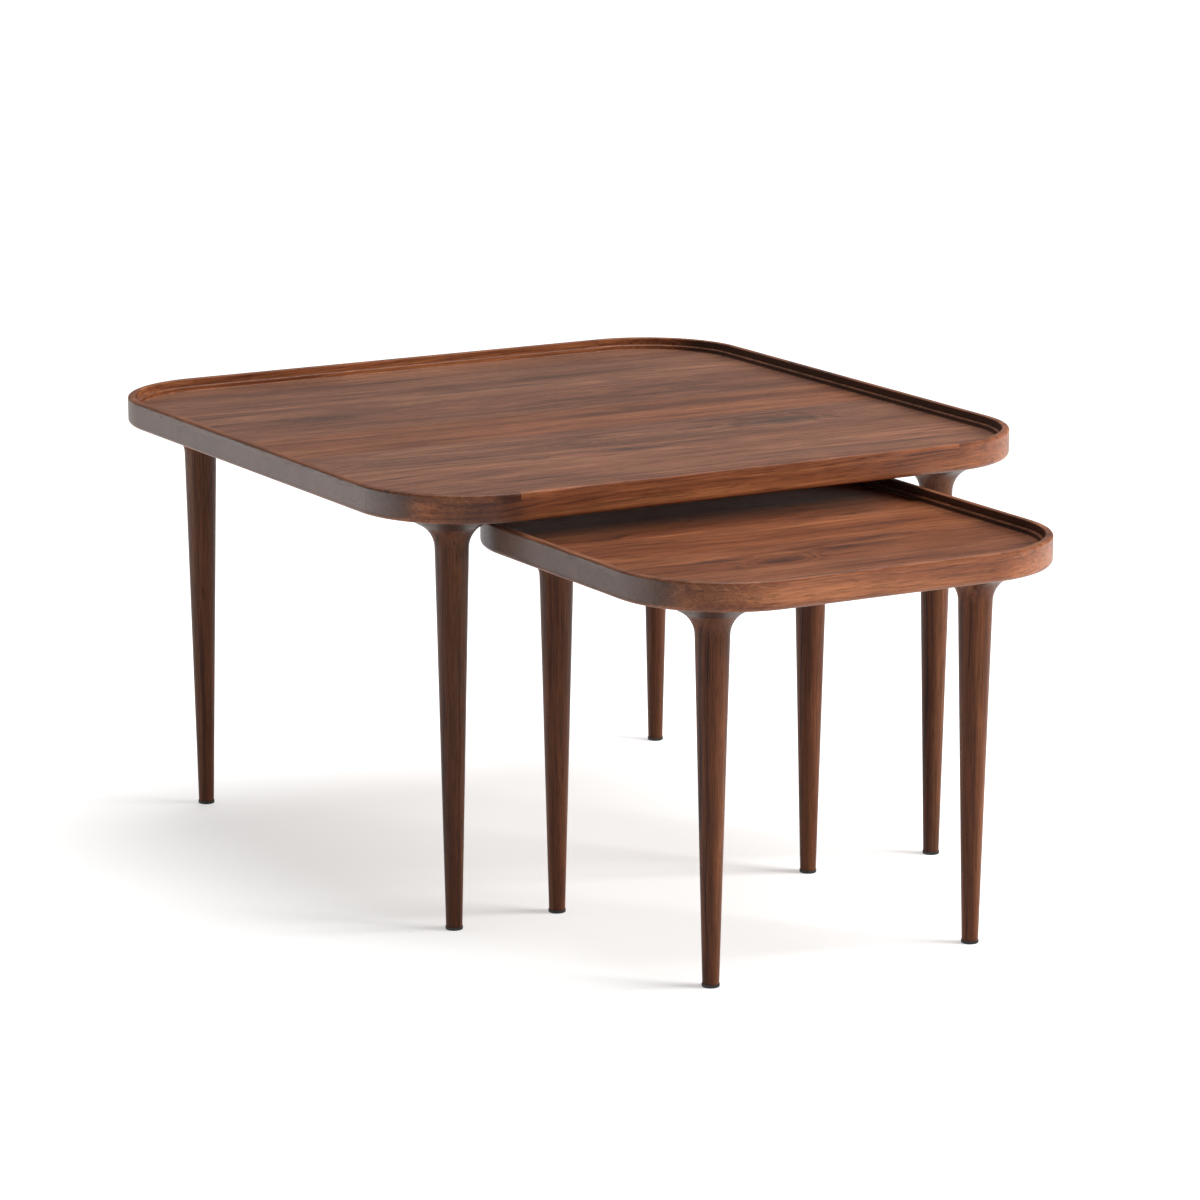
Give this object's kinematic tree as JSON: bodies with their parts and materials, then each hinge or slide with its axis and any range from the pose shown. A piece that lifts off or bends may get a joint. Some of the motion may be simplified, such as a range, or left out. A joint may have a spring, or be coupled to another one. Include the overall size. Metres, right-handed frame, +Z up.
{
  "type": "nesting tables",
  "caption": "Two square wooden nesting tables with raised-rim tray tops, rounded corners and tapered turned legs; the small one slides under the large one.",
  "frame": {"origin": "on the floor, under the middle of the pair's own box as it stands, with the small table part way out", "axes": "+X right along the front edges, +Y from the small table's front to the large table's back, +Z up"},
  "size_m": [0.7, 0.9794, 0.429],
  "materials": {
    "large_top_boards": "satin",
    "small_top_boards": "satin",
    "large_rim": "satin",
    "small_rim": "satin",
    "legs": "satin",
    "glides": "matt",
    "brass_inserts": "machined",
    "steel_fixings": "zinc plated"
  },
  "bodies": {
    "large_table": {"large_stave_1": "large_top_boards", "large_stave_2": "large_top_boards", "large_stave_3": "large_top_boards", "large_stave_4": "large_top_boards", "large_stave_5": "large_top_boards", "large_stave_6": "large_top_boards", "large_stave_7": "large_top_boards", "large_rim_front": "large_rim", "large_rim_right": "large_rim", "large_rim_back": "large_rim", "large_rim_left": "large_rim", "large_corner_back_right": "large_rim", "large_corner_back_left": "large_rim", "large_corner_front_left": "large_rim", "large_corner_front_right": "large_rim", "large_leg_back_right": "legs", "large_leg_back_left": "legs", "large_leg_front_left": "legs", "large_leg_front_right": "legs", "large_glide_back_right": "glides", "large_glide_back_left": "glides", "large_glide_front_left": "glides", "large_glide_front_right": "glides", "large_inserts": "brass_inserts", "large_hanger_bolts": "steel_fixings", "large_glide_nails": "steel_fixings"},
    "small_table": {"small_stave_1": "small_top_boards", "small_stave_2": "small_top_boards", "small_stave_3": "small_top_boards", "small_stave_4": "small_top_boards", "small_stave_5": "small_top_boards", "small_rim_front": "small_rim", "small_rim_right": "small_rim", "small_rim_back": "small_rim", "small_rim_left": "small_rim", "small_corner_back_right": "small_rim", "small_corner_back_left": "small_rim", "small_corner_front_left": "small_rim", "small_corner_front_right": "small_rim", "small_leg_back_right": "legs", "small_leg_back_left": "legs", "small_leg_front_left": "legs", "small_leg_front_right": "legs", "small_glide_back_right": "glides", "small_glide_back_left": "glides", "small_glide_front_left": "glides", "small_glide_front_right": "glides", "small_inserts": "brass_inserts", "small_hanger_bolts": "steel_fixings", "small_glide_nails": "steel_fixings"}
  },
  "joints": [
    {"name": "nesting_slide", "type": "slide", "parent": "large_table", "child": "small_table", "axis": [0, 1, 0], "range_m": [-0.2, 0.407]}
  ]
}
